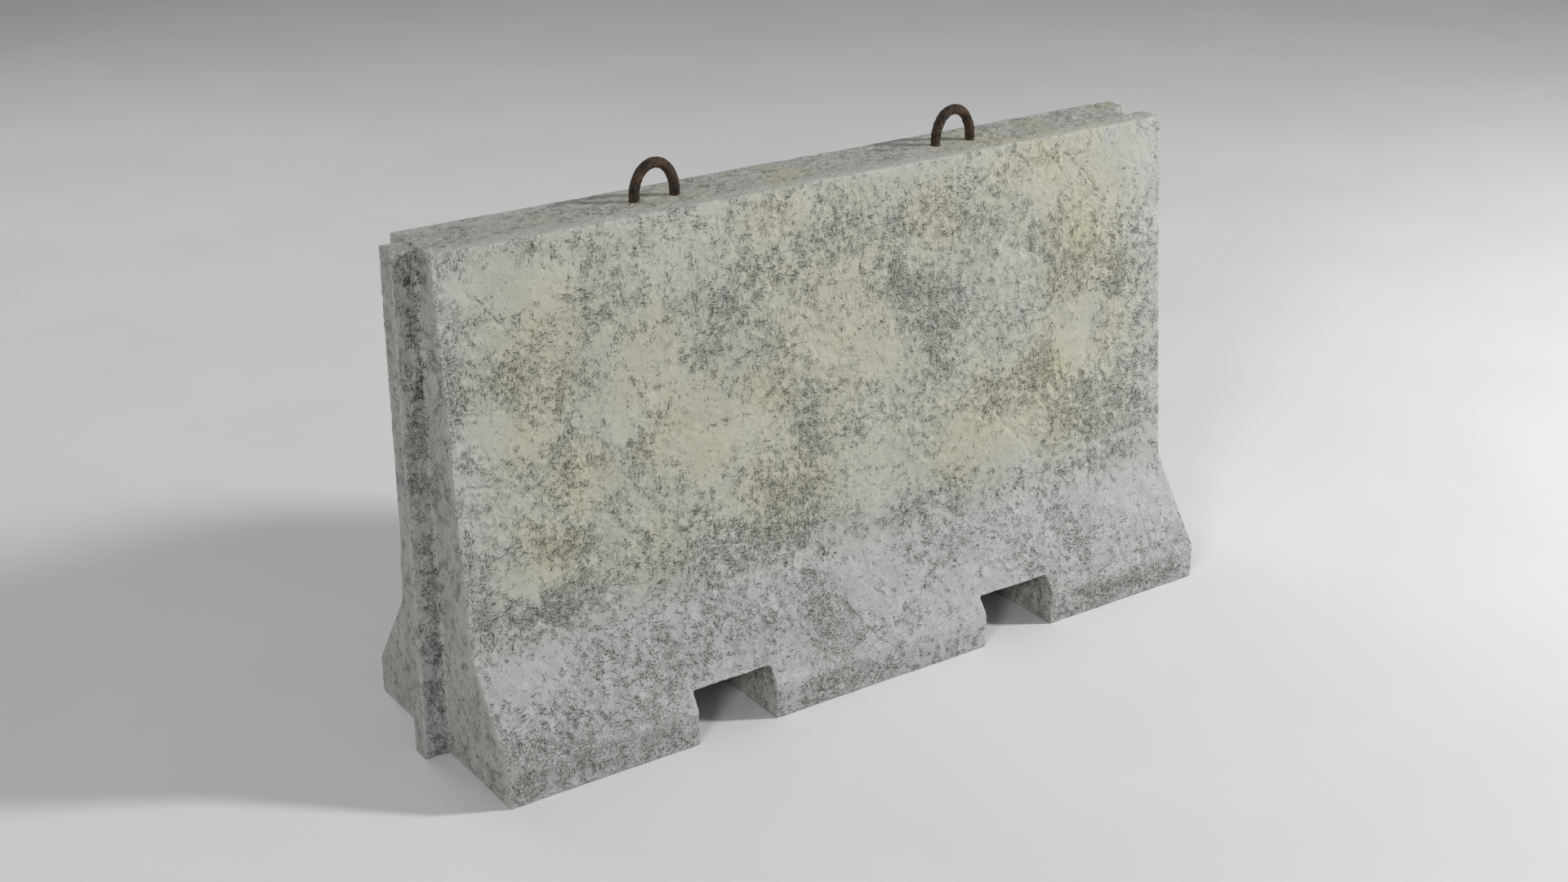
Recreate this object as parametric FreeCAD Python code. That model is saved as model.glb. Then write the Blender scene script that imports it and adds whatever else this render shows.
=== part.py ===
"""Precast reinforced-concrete safety barrier unit, with its lifting loops and its reinforcing cage.

Row frame, millimetres: +X along the unit from the tongue end to the groove end, +Y across it, +Z up.
The origin is at ground level under the centre of the footprint, tongue included.
The unit is one casting: a low vertical foot, a sloped toe, a battered stem and a flat top, with a full-height
tongue on the -X end and a matching groove in the +X end, and two fork pockets through the foot.
Cast into it are two round-bar lifting loops and a welded cage: stem stirrups (inverted U bars), foot links,
longitudinal bars, anchor bars in the loops' hooks, and plastic wheel spacers that set the concrete cover.
"""
import FreeCAD, Part
import math
import os

V = FreeCAD.Vector

# ---- casting ----------------------------------------------------------------------------------
HEIGHT = 1000.0            # ground to top face
BODY_LENGTH = 1690.0       # end face to end face, the laying length of one unit
TONGUE_OUT = 48.0          # how far the tongue stands out of its end face
BASE_WIDTH = 540.0
FOOT_HEIGHT = 75.0         # vertical face of the foot
BREAK_HEIGHT = 253.0       # where the toe slope meets the stem
BREAK_WIDTH = 293.0
TOP_WIDTH = 162.0
TOP_EDGE_R = 7.0
TOE_EDGE_R = 8.0
BREAK_R = 40.0
BASE_EDGE_R = 5.0
END_CHAMFER = 5.0

TONGUE_ROOT_W = 51.0       # the sides have a little draft, so the mould's end plate draws off
TONGUE_TIP_W = 49.0
TONGUE_TIP_CHAMFER = 4.0
GROOVE_MOUTH_W = 55.0
GROOVE_FLOOR_W = 53.0
GROOVE_DEPTH = 52.0
GROOVE_MOUTH_CHAMFER = 5.0

POCKET_WIDTH = 174.0       # fork pockets, open to the ground
POCKET_HEIGHT = 105.0
POCKET_U = (495.0, 1195.0) # centres, measured along the unit from the tongue's end face
POCKET_CORNER_R = 8.0

# ---- lifting loops ----------------------------------------------------------------------------
LOOP_U = POCKET_U          # one loop above each pocket
LOOP_BAR_R = 10.5
LOOP_HALF_SPAN = 43.5      # leg centre from loop centre
LOOP_SPRING = 8.0          # height above the top face at which the legs start to bend
LOOP_CROWN_R = 36.0        # crown arc of the three-centre arch
LOOP_RISE = 57.5           # springing to crown, centreline
LOOP_TAIL_Z = 540.0        # centreline of the hooked tails
LOOP_HOOK_R = 42.0
LOOP_TAIL = 120.0

# ---- cage -------------------------------------------------------------------------------------
COVER = 40.0
LINK_R = 5.0               # 10 mm stirrups and foot links
BAR_R = 6.0                # 12 mm longitudinal and anchor bars
WELD_GAP = 1.0             # weld throat between crossing bars
STIRRUP_U = (60.0, 205.0, 350.0, 495.0, 640.0, 845.0, 1050.0, 1195.0, 1340.0, 1465.0, 1590.0)
STIRRUP_BEND_R = 25.0
FOOT_LINK_SHIFT = 12.0     # each foot link lies beside its stirrup
FOOT_LINK_TOP = 300.0
FOOT_LINK_BEND_R = 30.0
BAR_START_U = 45.0
BAR_END_U = 1645.0
BAR_END_NEAR_GROOVE_U = 1600.0
BAR_LEVELS = (("top_bar", 925.0, BAR_END_NEAR_GROOVE_U),
              ("upper_bar", 700.0, BAR_END_NEAR_GROOVE_U),
              ("middle_bar", 475.0, BAR_END_U),
              ("break_bar", 226.0, BAR_END_U),
              ("lintel_bar", 165.0, BAR_END_U))
SPACER_U = (205.0, 845.0, 1465.0)
SPACER_Z = (370.0, 815.0)
SPACER_R = 38.5             # they stand a little shy of the mould's face
SPACER_RIM = 5.0
SPACER_HUB_R = 10.0
SPACER_T = 10.0
SPACER_SPOKE = 4.0
SPACER_CLEARANCE = 0.4

# ---- derived ----------------------------------------------------------------------------------
TOTAL_LENGTH = BODY_LENGTH + TONGUE_OUT
X0 = -TOTAL_LENGTH / 2.0 + TONGUE_OUT      # tongue's end face
X1 = X0 + BODY_LENGTH                      # groove's end face
BATTER = (BREAK_WIDTH - TOP_WIDTH) / 2.0 / (HEIGHT - BREAK_HEIGHT)


def x_of(u):
    return X0 + u


def stem_half(z):
    """Half width of the stem's face, carried on below the break."""
    return TOP_WIDTH / 2.0 + BATTER * (HEIGHT - z)


def leg_y(z):
    """Centre of a stirrup's leg at height z."""
    return stem_half(z) - (COVER + LINK_R) * math.sqrt(1.0 + BATTER ** 2)


def rounded(points, radii, closed=True):
    """A wire through points in order, with a tangent arc of the given radius at each corner (0 leaves it sharp)."""
    n = len(points)
    ends = []
    for i, p in enumerate(points):
        r = radii[i]
        if r <= 0 or (not closed and i in (0, n - 1)):
            ends.append((p, None, p))
            continue
        a = (points[i - 1] - p)
        b = (points[(i + 1) % n] - p)
        a.normalize()
        b.normalize()
        half = a.getAngle(b) / 2.0
        t = r / math.tan(half)
        bis = a + b
        bis.normalize()
        centre = p + bis * (r / math.sin(half))
        mid = centre - bis * r
        ends.append((p + a * t, mid, p + b * t))
    edges = []
    for i in range(n):
        first, mid, last = ends[i]
        if mid is not None:
            edges.append(Part.Arc(first, mid, last).toShape())
        if i == n - 1 and not closed:
            break
        nxt = ends[(i + 1) % n][0]
        if (nxt - last).Length > 1e-6:
            edges.append(Part.LineSegment(last, nxt).toShape())
    return Part.Wire(edges)


def prism(wire, direction):
    return Part.Face(wire).extrude(direction)


def round_bar(points, radii, r):
    """A round bar along a bent path."""
    path = rounded(points, radii, closed=False)
    first = path.Edges[0]
    start = first.valueAt(first.FirstParameter)
    tangent = first.tangentAt(first.FirstParameter)
    if (start - points[0]).Length > 1e-6:
        start = first.valueAt(first.LastParameter)
        tangent = first.tangentAt(first.LastParameter) * -1.0
    section = Part.Wire([Part.Circle(start, tangent, r).toShape()])
    solid = path.makePipeShell([section], True, True)
    if solid.Volume < 0:
        solid.reverse()
    want = math.pi * r * r * path.Length
    assert abs(solid.Volume - want) < 0.01 * want, (solid.Volume, want)
    return solid


def straight(p, q, r):
    d = q - p
    return Part.makeCylinder(r, d.Length, p, d)


# ---- the cage's pieces ------------------------------------------------------------------------
parts = {}
pocket_spans = [(u - POCKET_WIDTH / 2.0, u + POCKET_WIDTH / 2.0) for u in POCKET_U]


def over_pocket(u):
    return any(a - 20.0 < u < b + 20.0 for a, b in pocket_spans)


full_stations = [u for u in STIRRUP_U if not over_pocket(u)]
top_z = HEIGHT - COVER - LINK_R
for i, u in enumerate(STIRRUP_U, 1):
    low = POCKET_HEIGHT + COVER if over_pocket(u) else COVER + LINK_R
    x = x_of(u)
    pts = [V(x, -leg_y(low), low), V(x, -leg_y(top_z), top_z), V(x, leg_y(top_z), top_z), V(x, leg_y(low), low)]
    parts["stem_stirrup_%02d" % i] = round_bar(pts, [0, STIRRUP_BEND_R, STIRRUP_BEND_R, 0], LINK_R)

# the foot links follow the toe slope at the cover distance
slope = V(0, BREAK_WIDTH / 2.0 - BASE_WIDTH / 2.0, BREAK_HEIGHT - FOOT_HEIGHT)
slope.normalize()
inward = V(0, -slope.z, slope.y)
line_at = V(0, BASE_WIDTH / 2.0, FOOT_HEIGHT) + inward * (COVER + LINK_R)


def toe_line_y(z):
    return line_at.y + slope.y * (z - line_at.z) / slope.z


link_low = COVER + LINK_R
for i, u in enumerate(full_stations, 1):
    x = x_of(u + FOOT_LINK_SHIFT)
    pts = [V(x, -toe_line_y(FOOT_LINK_TOP), FOOT_LINK_TOP), V(x, -toe_line_y(link_low), link_low),
           V(x, toe_line_y(link_low), link_low), V(x, toe_line_y(FOOT_LINK_TOP), FOOT_LINK_TOP)]
    parts["foot_link_%02d" % i] = round_bar(pts, [0, FOOT_LINK_BEND_R, FOOT_LINK_BEND_R, 0], LINK_R)

bar_in = LINK_R + BAR_R + WELD_GAP
for name, z, end_u in BAR_LEVELS:
    y = leg_y(z) - bar_in
    for side, s in (("front", -1.0), ("back", 1.0)):
        parts["%s_%s" % (name, side)] = straight(V(x_of(BAR_START_U), s * y, z), V(x_of(end_u), s * y, z), BAR_R)

# foot bars lie in the bends of the foot links and stop clear of the pockets
bend_z = link_low + FOOT_LINK_BEND_R
corner_y = toe_line_y(link_low)
half_turn = math.pi - V(0, 1, 0).getAngle(slope)
bend_y = corner_y - FOOT_LINK_BEND_R / math.tan(half_turn / 2.0)
reach = FOOT_LINK_BEND_R - LINK_R - BAR_R - WELD_GAP
foot_y = bend_y + reach * math.cos(math.radians(35.0))
foot_z = bend_z - reach * math.sin(math.radians(35.0))
foot_spans = (("left", BAR_START_U, pocket_spans[0][0] - COVER),
              ("middle", pocket_spans[0][1] + COVER, pocket_spans[1][0] - COVER),
              ("right", pocket_spans[1][1] + COVER, BAR_END_U))
for where, a, b in foot_spans:
    for side, s in (("front", -1.0), ("back", 1.0)):
        parts["foot_bar_%s_%s" % (where, side)] = straight(V(x_of(a), s * foot_y, foot_z), V(x_of(b), s * foot_y, foot_z), BAR_R)

# ---- lifting loops: hooked tails, straight legs, three-centre arch -----------------------------
rise = LOOP_RISE - LOOP_CROWN_R
side_r = (LOOP_CROWN_R ** 2 - LOOP_HALF_SPAN ** 2 - rise ** 2) / (2.0 * (LOOP_CROWN_R - LOOP_HALF_SPAN))
side_cx = LOOP_HALF_SPAN - side_r
join = math.atan2(rise, -side_cx)


def loop(u):
    cx, z0 = x_of(u), HEIGHT + LOOP_SPRING
    a = LOOP_HALF_SPAN

    def side(angle, s):
        return V(cx + s * (side_cx + side_r * math.cos(angle)), 0, z0 + side_r * math.sin(angle))

    def hook(s):
        corner = V(cx + s * a, 0, LOOP_TAIL_Z)
        tail = V(cx + s * (a + LOOP_HOOK_R + LOOP_TAIL), 0, LOOP_TAIL_Z)
        centre = V(cx + s * (a + LOOP_HOOK_R), 0, LOOP_TAIL_Z + LOOP_HOOK_R)
        into = V(cx + s * (a + LOOP_HOOK_R), 0, LOOP_TAIL_Z)
        out = V(cx + s * a, 0, LOOP_TAIL_Z + LOOP_HOOK_R)
        d = corner - centre
        d.normalize()
        return tail, into, centre + d * LOOP_HOOK_R, out

    lt, li, lm, lo = hook(-1.0)
    rt, ri, rm, ro = hook(1.0)
    crown = V(cx, 0, z0 + LOOP_RISE)
    path = Part.Wire([
        Part.LineSegment(lt, li).toShape(),
        Part.Arc(li, lm, lo).toShape(),
        Part.LineSegment(lo, V(cx - a, 0, z0)).toShape(),
        Part.Arc(V(cx - a, 0, z0), side(join / 2.0, -1.0), side(join, -1.0)).toShape(),
        Part.Arc(side(join, -1.0), crown, side(join, 1.0)).toShape(),
        Part.Arc(side(join, 1.0), side(join / 2.0, 1.0), V(cx + a, 0, z0)).toShape(),
        Part.LineSegment(V(cx + a, 0, z0), ro).toShape(),
        Part.Arc(ro, rm, ri).toShape(),
        Part.LineSegment(ri, rt).toShape(),
    ])
    section = Part.Wire([Part.Circle(lt, V(1, 0, 0), LOOP_BAR_R).toShape()])
    solid = path.makePipeShell([section], True, True)
    if solid.Volume < 0:
        solid.reverse()
    want = math.pi * LOOP_BAR_R ** 2 * path.Length
    assert abs(solid.Volume - want) < 0.01 * want, (solid.Volume, want)
    return solid


anchor_off = LOOP_HOOK_R - (LOOP_BAR_R + BAR_R + WELD_GAP)
anchor_half = 58.0
for name, u in (("left", LOOP_U[0]), ("right", LOOP_U[1])):
    parts["lifting_loop_" + name] = loop(u)
    for side, s in (("outer" if name == "left" else "inner", -1.0), ("inner" if name == "left" else "outer", 1.0)):
        c = V(x_of(u) + s * (LOOP_HALF_SPAN + LOOP_HOOK_R), 0, LOOP_TAIL_Z + LOOP_HOOK_R)
        d = V(-s, 0, -1.0)
        d.normalize()
        p = c + d * anchor_off
        parts["loop_anchor_bar_%s_%s" % (name, side)] = straight(p + V(0, -anchor_half, 0), p + V(0, anchor_half, 0), BAR_R)

# ---- wheel spacers on the stirrups' legs -------------------------------------------------------
def wheel(centre, axis):
    t = axis * (SPACER_T / 2.0)
    rim = Part.makeCylinder(SPACER_R, SPACER_T, centre - t, axis).cut(
        Part.makeCylinder(SPACER_R - SPACER_RIM, SPACER_T + 2.0, centre - t - axis, axis))
    hub = Part.makeCylinder(SPACER_HUB_R, SPACER_T, centre - t, axis)
    spokes = []
    across = V(1, 0, 0)
    other = axis.cross(across)
    for angle in (45.0, 135.0):
        c, s = math.cos(math.radians(angle)), math.sin(math.radians(angle))
        d = across * c + other * s
        w = axis.cross(d)
        reach = SPACER_R - SPACER_RIM / 2.0
        pts = [centre - d * reach - w * (SPACER_SPOKE / 2.0) - t, centre + d * reach - w * (SPACER_SPOKE / 2.0) - t,
               centre + d * reach + w * (SPACER_SPOKE / 2.0) - t, centre - d * reach + w * (SPACER_SPOKE / 2.0) - t]
        spokes.append(prism(rounded(pts, [0] * 4), axis * SPACER_T))
    blank = rim.fuse([hub] + spokes).removeSplitter().Solids[0]
    # the hub is clipped on the bar with a little clearance, which the concrete does not run into
    return blank, blank.cut(Part.makeCylinder(LINK_R + SPACER_CLEARANCE, SPACER_T + 2.0, centre - t - axis, axis)).Solids[0]


wheel_blanks = []
for side, s in (("front", -1.0), ("back", 1.0)):
    wheels = []
    for u in SPACER_U:
        for z in SPACER_Z:
            axis = V(0, -s * BATTER, 1.0)
            axis.normalize()
            blank, bored = wheel(V(x_of(u), s * leg_y(z), z), axis)
            wheel_blanks.append(blank)
            wheels.append(bored)
    parts["cover_spacers_" + side] = Part.makeCompound(wheels)

# ---- the casting -------------------------------------------------------------------------------
hb, hk, ht = BASE_WIDTH / 2.0, BREAK_WIDTH / 2.0, TOP_WIDTH / 2.0
half_profile = [(hb, 0.0), (hb, FOOT_HEIGHT), (hk, BREAK_HEIGHT), (ht, HEIGHT)]


def profile(x, inset):
    """The unit's outline at x, drawn in by inset on every face but the one it stands on."""
    lines = []
    for (y0, z0), (y1, z1) in zip(half_profile, half_profile[1:]):
        n = math.hypot(y1 - y0, z1 - z0)
        ny, nz = -(z1 - z0) / n, (y1 - y0) / n
        lines.append((y0 + ny * inset, z0 + nz * inset, (y1 - y0) / n, (z1 - z0) / n))

    def meet(p, q):
        det = p[2] * q[3] - p[3] * q[2]
        t = ((q[0] - p[0]) * q[3] - (q[1] - p[1]) * q[2]) / det
        return p[0] + p[2] * t, p[1] + p[3] * t

    top = (0.0, HEIGHT - inset, 1.0, 0.0)
    half = [(lines[0][0], 0.0), meet(lines[0], lines[1]), meet(lines[1], lines[2]), meet(lines[2], top)]
    r = [BASE_EDGE_R, TOE_EDGE_R, BREAK_R, TOP_EDGE_R]
    if inset > 0:
        r = [BASE_EDGE_R - 1.0, max(TOE_EDGE_R - inset, 2.0), BREAK_R + inset, max(TOP_EDGE_R - inset, 2.0)]
    pts = [V(x, -y, z) for y, z in half] + [V(x, y, z) for y, z in reversed(half)]
    return rounded(pts, r + r[::-1])


c = END_CHAMFER
middle = prism(profile(X0 + c, 0.0), V(BODY_LENGTH - 2.0 * c, 0, 0))
end_a = Part.makeLoft([profile(X0, c), profile(X0 + c, 0.0)], True, True)
end_b = Part.makeLoft([profile(X1 - c, 0.0), profile(X1, c)], True, True)
body = middle.fuse([end_a, end_b]).removeSplitter()
assert body.isValid() and len(body.Solids) == 1

c = TONGUE_TIP_CHAMFER
tip, root = TONGUE_TIP_W / 2.0, TONGUE_ROOT_W / 2.0
deep = 30.0
tongue = [V(X0 + deep, -root, 0), V(X0, -root, 0), V(X0 - TONGUE_OUT + c, -tip, 0), V(X0 - TONGUE_OUT, -tip + c, 0),
          V(X0 - TONGUE_OUT, tip - c, 0), V(X0 - TONGUE_OUT + c, tip, 0), V(X0, root, 0), V(X0 + deep, root, 0)]
body = body.fuse(prism(rounded(tongue, [0] * 8), V(0, 0, HEIGHT))).removeSplitter()

m = GROOVE_MOUTH_CHAMFER
mouth, floor = GROOVE_MOUTH_W / 2.0, GROOVE_FLOOR_W / 2.0
groove = [V(X1 + 10, -mouth - m - 10, -5), V(X1, -mouth - m, -5), V(X1 - m, -mouth, -5), V(X1 - GROOVE_DEPTH, -floor, -5),
          V(X1 - GROOVE_DEPTH, floor, -5), V(X1 - m, mouth, -5), V(X1, mouth + m, -5), V(X1 + 10, mouth + m + 10, -5)]
body = body.cut(prism(rounded(groove, [0, 0, 0, 4, 4, 0, 0, 0]), V(0, 0, HEIGHT + 10.0)))

for u in POCKET_U:
    xa, xb = x_of(u) - POCKET_WIDTH / 2.0, x_of(u) + POCKET_WIDTH / 2.0
    pocket = [V(xa, -300, POCKET_HEIGHT), V(xb, -300, POCKET_HEIGHT), V(xb, -300, -10), V(xa, -300, -10)]
    body = body.cut(prism(rounded(pocket, [POCKET_CORNER_R, POCKET_CORNER_R, 0, 0]), V(0, 600, 0)))
body = body.removeSplitter()

# every cast-in piece fills its own cavity
cast_in = list(wheel_blanks)
for name, shape in parts.items():
    if not name.startswith("cover_spacers"):
        cast_in.extend(shape.Solids)
gross = body.Volume
casting = body.cut(cast_in)
steel = sum(shape.Volume for name, shape in parts.items())
above = sum(parts["lifting_loop_" + n].common(Part.makeBox(400, 100, 200, V(x_of(u) - 200, -50, HEIGHT))).Volume
            for n, u in (("left", LOOP_U[0]), ("right", LOOP_U[1])))
print("gross %.4f l, casting %.4f l, cast-in %.4f l, above the top %.4f l, balance %.6f l" % (
    gross / 1e6, casting.Volume / 1e6, steel / 1e6, above / 1e6, (gross - casting.Volume - steel + above) / 1e6))
print("casting: valid", casting.isValid(), "solids", len(casting.Solids), "shells", len(casting.Shells), "faces", len(casting.Faces))
parts["concrete_body"] = casting.Solids[0] if len(casting.Solids) == 1 else max(casting.Solids, key=lambda s: s.Volume)

os.makedirs("parts", exist_ok=True)
for old in os.listdir("parts"):
    if old.endswith(".step") and old[:-5] not in parts:
        os.remove(os.path.join("parts", old))
for name in sorted(parts):
    shape = parts[name]
    assert shape.isValid() and shape.Volume > 0, name
    shape.exportStep("parts/%s.step" % name)
print(len(parts), "nodes;", "steel and plastic %.3f l" % (steel / 1e6))
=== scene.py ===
import bpy
import math
import numpy as np
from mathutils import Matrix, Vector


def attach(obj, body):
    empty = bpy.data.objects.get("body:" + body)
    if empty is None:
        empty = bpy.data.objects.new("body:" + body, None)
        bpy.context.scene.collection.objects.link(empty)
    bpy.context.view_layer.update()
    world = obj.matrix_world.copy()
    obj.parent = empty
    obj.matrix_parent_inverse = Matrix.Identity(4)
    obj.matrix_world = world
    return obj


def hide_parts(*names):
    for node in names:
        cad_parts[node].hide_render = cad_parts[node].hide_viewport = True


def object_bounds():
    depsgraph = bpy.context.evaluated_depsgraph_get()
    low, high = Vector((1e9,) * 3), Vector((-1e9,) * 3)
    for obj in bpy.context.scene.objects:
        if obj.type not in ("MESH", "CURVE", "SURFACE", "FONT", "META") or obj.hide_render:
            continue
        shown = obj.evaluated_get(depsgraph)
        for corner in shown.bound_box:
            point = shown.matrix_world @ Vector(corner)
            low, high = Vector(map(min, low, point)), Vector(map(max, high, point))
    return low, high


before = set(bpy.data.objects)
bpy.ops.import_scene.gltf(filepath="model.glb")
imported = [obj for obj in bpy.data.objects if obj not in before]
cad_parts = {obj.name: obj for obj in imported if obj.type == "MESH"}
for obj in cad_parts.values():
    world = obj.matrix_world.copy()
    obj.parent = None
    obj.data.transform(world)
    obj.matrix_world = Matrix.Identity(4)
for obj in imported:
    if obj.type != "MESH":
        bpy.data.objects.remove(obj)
cad_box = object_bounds()
ROOT = "root"

# ---- the barrier's dimensions, metres, as in the CAD ------------------------------------------
H, X0, X1 = 1.0, -0.821, 0.869
HB, HK, HT, ZF, ZB = 0.270, 0.1465, 0.081, 0.075, 0.253
TONGUE, T_ROOT, T_TIP = 0.048, 0.0255, 0.0245
G_DEPTH, G_MOUTH, G_FLOOR = 0.052, 0.0275, 0.0265
POCKETS = (X0 + 0.495, X0 + 1.195)
PW, PH = 0.087, 0.105
LOOPS = POCKETS
B = (HK - HT) / (H - ZB)
M = (HK - HB) / (ZB - ZF)
CB, CM = 1.0 / math.sqrt(1 + B * B), 1.0 / math.sqrt(1 + M * M)
CELL = 0.003
SKIN = 0.0006      # the casting's skin stands this far inside the CAD faces before relief is added


# ---- seeded gradient noise --------------------------------------------------------------------
ANG = np.arange(256) * (2 * math.pi / 256)
GX, GY = np.cos(ANG).astype(np.float32), np.sin(ANG).astype(np.float32)


def hashed(ix, iy, seed):
    h = ix.astype(np.uint32) * np.uint32(374761393) + iy.astype(np.uint32) * np.uint32(668265263)
    h = h + np.uint32((seed * 2246822519 + 12345) & 0xFFFFFFFF)
    h = (h ^ (h >> np.uint32(13))) * np.uint32(1274126177)
    h = (h ^ (h >> np.uint32(15))) * np.uint32(2246822519)
    return h ^ (h >> np.uint32(16))


def noise(u, v, seed):
    """2-D gradient noise, about -1 to 1."""
    fu, fv = np.floor(u), np.floor(v)
    iu, iv = fu.astype(np.int32), fv.astype(np.int32)
    du, dv = (u - fu).astype(np.float32), (v - fv).astype(np.float32)
    su, sv = du * du * du * (du * (du * 6 - 15) + 10), dv * dv * dv * (dv * (dv * 6 - 15) + 10)

    def corner(a, b):
        g = hashed(iu + a, iv + b, seed) & np.uint32(255)
        return GX[g] * (du - a) + GY[g] * (dv - b)

    lo = corner(0, 0) * (1 - su) + corner(1, 0) * su
    hi = corner(0, 1) * (1 - su) + corner(1, 1) * su
    return (lo * (1 - sv) + hi * sv) * 1.5


def fbm(u, v, seed, octaves=4, gain=0.5):
    total, amp, norm = 0.0, 1.0, 0.0
    for i in range(octaves):
        total = total + noise(u * 2 ** i, v * 2 ** i, seed + 17 * i) * amp
        norm += amp
        amp *= gain
    return total / norm


def smooth(lo, hi, x):
    t = np.clip((x - lo) / (hi - lo), 0, 1)
    return t * t * (3 - 2 * t)


# ---- the casting as a distance field ----------------------------------------------------------
def smax(a, b, k):
    h = np.maximum(k - np.abs(a - b), 0) / k
    return np.maximum(a, b) + h * h * (k * 0.25)


def smin(a, b, k):
    h = np.maximum(k - np.abs(a - b), 0) / k
    return np.minimum(a, b) - h * h * (k * 0.25)


def casting(x, y, z, k=0.0028):
    ay = np.abs(y)
    stem = (ay - (HT + B * (H - z))) * CB
    toe = (ay - (HB + M * (z - ZF))) * CM
    d = smin(stem, toe, 0.012)
    d = smax(d, ay - HB, k * 1.3)
    d = smax(d, z - H, k * 1.15)
    d = smax(d, -z, k)
    d = smax(d, np.abs(x - (X0 + X1) / 2) - (X1 - X0) / 2, k * 1.15)
    wide = T_ROOT + (T_TIP - T_ROOT) * np.clip((X0 - x) / TONGUE, 0, 1)
    t = smax(ay - wide, (X0 - TONGUE) - x, k * 1.1)
    t = smax(t, z - H, k)
    t = smax(t, -z, k)
    t = np.maximum(t, x - (X0 + 0.03))
    d = smin(d, t, 0.007)
    gw = G_FLOOR + (G_MOUTH - G_FLOOR) * np.clip((x - (X1 - G_DEPTH)) / G_DEPTH, 0, 1)
    g = smax(ay - gw, (X1 - G_DEPTH) - x, 0.008)
    d = smax(d, -g, k * 1.1)
    for cx in POCKETS:
        p = smax(np.abs(x - cx) - PW, z - PH, 0.0034)
        d = smax(d, -p, k * 1.1)
    return d + SKIN


def surface_net(cell):
    """The field's zero surface as quads, one vertex per crossed cell."""
    lo = np.array([X0 - TONGUE, -HB, 0.0]) - 2.37 * cell
    hi = np.array([X1, HB, H]) + 2.37 * cell
    n = np.ceil((hi - lo) / cell).astype(int) + 1
    xs, ys, zs = (lo[i] + cell * np.arange(n[i], dtype=np.float32) for i in range(3))
    field = np.empty(n, np.float32)
    for i in range(0, n[0], 24):
        x = xs[i:i + 24].astype(np.float32)[:, None, None]
        field[i:i + 24] = casting(x, ys[None, :, None].astype(np.float32), zs[None, None, :].astype(np.float32))
    inside = field < 0
    c = [inside[a:n[0] - 1 + a, b:n[1] - 1 + b, e:n[2] - 1 + e] for a in (0, 1) for b in (0, 1) for e in (0, 1)]
    count = np.zeros(c[0].shape, np.uint8)
    for one in c:
        count += one
    ci, cj, ck = np.nonzero((count > 0) & (count < 8))
    number = np.full(c[0].shape, -1, np.int32)
    number[ci, cj, ck] = np.arange(len(ci))
    total = np.zeros((len(ci), 3), np.float32)
    hits = np.zeros(len(ci), np.float32)
    corner = {(a, b, e): field[ci + a, cj + b, ck + e] for a in (0, 1) for b in (0, 1) for e in (0, 1)}
    for axis in range(3):
        for p in (0, 1):
            for q in (0, 1):
                s = [p, q]
                s.insert(axis, 0)
                t = list(s)
                t[axis] = 1
                f0, f1 = corner[tuple(s)], corner[tuple(t)]
                cross = (f0 < 0) != (f1 < 0)
                w = np.where(cross, f0 / np.where(cross, f0 - f1, 1), 0)
                for m in range(3):
                    total[:, m] += np.where(cross, s[m] + (w if m == axis else 0), 0)
                hits += cross
    at = lo + cell * (np.stack([ci, cj, ck], 1) + total / hits[:, None])
    quads = []
    for axis in range(3):
        a = [slice(1, n[m] - 1) for m in range(3)]
        a[axis] = slice(0, n[axis] - 1)
        b = list(a)
        b[axis] = slice(1, n[axis])
        f0, f1 = inside[tuple(a)], inside[tuple(b)]
        idx = np.argwhere(f0 != f1)
        out = f0[tuple(idx.T)]
        for m in range(3):
            if m != axis:
                idx[:, m] += 1
        m1, m2 = (axis + 1) % 3, (axis + 2) % 3
        e1, e2 = np.eye(3, dtype=int)[m1], np.eye(3, dtype=int)[m2]
        ring = [idx - e1 - e2, idx - e2, idx, idx - e1]
        q = np.stack([number[r[:, 0], r[:, 1], r[:, 2]] for r in ring], 1)
        q[~out] = q[~out][:, ::-1]
        quads.append(q)
    return at, np.concatenate(quads)


def gradient(p, k=0.0028, e=0.0008):
    g = np.empty_like(p)
    for m in range(3):
        a, b = p.copy(), p.copy()
        a[:, m] += e
        b[:, m] -= e
        g[:, m] = casting(a[:, 0], a[:, 1], a[:, 2], k) - casting(b[:, 0], b[:, 1], b[:, 2], k)
    return g / (2 * e)


# ---- cast relief, weathering, painted shade and painted highlight ------------------------------
# Stains on the front of the stem, as (x, z, radius along x, radius along z, strength).
OCHRE = [(-0.623, 0.775, .085, .100, .75), (-0.665, 0.635, .045, .045, .70), (-0.563, 0.54, .055, .050, .85),
         (-0.641, 0.41, .055, .050, .80), (-0.413, 0.72, .090, .080, .60), (-0.335, 0.585, .085, .075, .80),
         (-0.305, 0.53, .060, .055, .70), (-0.150, 0.615, .070, .070, .70), (-0.125, 0.945, .060, .050, .50),
         (0.010, 0.70, .150, .170, .50), (-0.115, 0.43, .120, .090, .45), (0.260, 0.885, .060, .060, .55),
         (0.560, 0.945, .110, .090, .70), (0.650, 0.785, .075, .100, .95), (0.620, 0.70, .060, .060, .70),
         (0.570, 0.53, .065, .060, 1.0), (0.500, 0.46, .100, .070, .70), (0.350, 0.42, .090, .080, .80),
         (0.560, 0.37, .070, .050, .55), (0.725, 0.57, .060, .070, .45), (-0.435, 0.35, .060, .060, .45)]
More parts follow.
